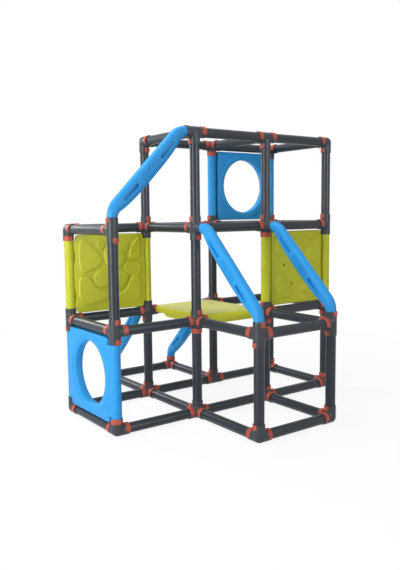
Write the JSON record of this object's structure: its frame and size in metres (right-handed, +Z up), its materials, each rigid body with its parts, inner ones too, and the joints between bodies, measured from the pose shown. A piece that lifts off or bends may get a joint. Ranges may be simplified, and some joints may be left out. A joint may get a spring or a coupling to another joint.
{
  "type": "climbing frame",
  "caption": "Children's cube-lattice climbing frame of plug-in plastic tubes and connectors, with crawl-hole panels, stone-textured panels, a deck and sloping handrails.",
  "frame": {"origin": "on the ground below the middle of the frame's bounding box", "axes": "+Z up; +Y from the end with the lower hole panel towards the end with the upper hole panel; +X towards the tall side bay with two handrails"},
  "size_m": [1.3456, 1.3456, 1.3433],
  "materials": {
    "grey_plastic": "slate-grey moulded polyethylene, satin",
    "red_plastic": "brick-red moulded clips, satin",
    "blue_plastic": "sky-blue moulded polyethylene, satin",
    "green_plastic": "lime-green moulded polyethylene, satin",
    "anti_slip_texture": "pale stippled anti-slip surface of the deck"
  },
  "bodies": {
    "root": {"beam_0_ACGH": "grey_plastic", "beam_0_BFJI": "grey_plastic", "beam_0_DE": "grey_plastic", "beam_0_LK": "grey_plastic", "beam_1_AC": "grey_plastic", "beam_1_BF": "grey_plastic", "beam_1_DE": "grey_plastic", "beam_1_GH": "grey_plastic", "beam_1_JI": "grey_plastic", "beam_2_BFJI": "grey_plastic", "beam_2_CGH": "grey_plastic", "beam_3_CGH": "grey_plastic", "beam_3_FJI": "grey_plastic", "connector_2_A": "grey_plastic", "deck": "green_plastic", "handrail_front_left": "blue_plastic", "handrail_front_right": "blue_plastic", "handrail_rear_left": "blue_plastic", "handrail_rear_right": "blue_plastic", "handrail_top": "blue_plastic", "hole_panel_lower": "blue_plastic", "hole_panel_upper": "blue_plastic", "post_0_C": "grey_plastic", "post_0_D": "grey_plastic", "post_0_E": "grey_plastic", "post_0_F": "grey_plastic", "post_0_G": "grey_plastic", "post_0_H": "grey_plastic", "post_0_I": "grey_plastic", "post_0_J": "grey_plastic", "post_1_A": "grey_plastic", "post_1_C": "grey_plastic", "post_1_I": "grey_plastic", "post_1_J": "grey_plastic", "post_2_C": "grey_plastic", "post_2_F": "grey_plastic", "post_2_G": "grey_plastic", "post_2_H": "grey_plastic", "stone_panel_left": "green_plastic", "stone_panel_right": "green_plastic", "tube_0_BA": "grey_plastic", "tube_0_CD": "grey_plastic", "tube_0_FC": "grey_plastic", "tube_0_GE": "grey_plastic", "tube_0_IH": "grey_plastic", "tube_0_KJ": "grey_plastic", "tube_0_LF": "grey_plastic", "tube_1_BA": "grey_plastic", "tube_1_CD": "grey_plastic", "tube_1_GE": "grey_plastic", "tube_1_IH": "grey_plastic", "tube_2_BA": "grey_plastic", "tube_2_FC": "grey_plastic", "tube_2_IH": "grey_plastic", "tube_2_JG": "grey_plastic", "tube_3_FC": "grey_plastic", "tube_3_IH": "grey_plastic", "tube_3_JG": "grey_plastic"}
  },
  "joints": []
}
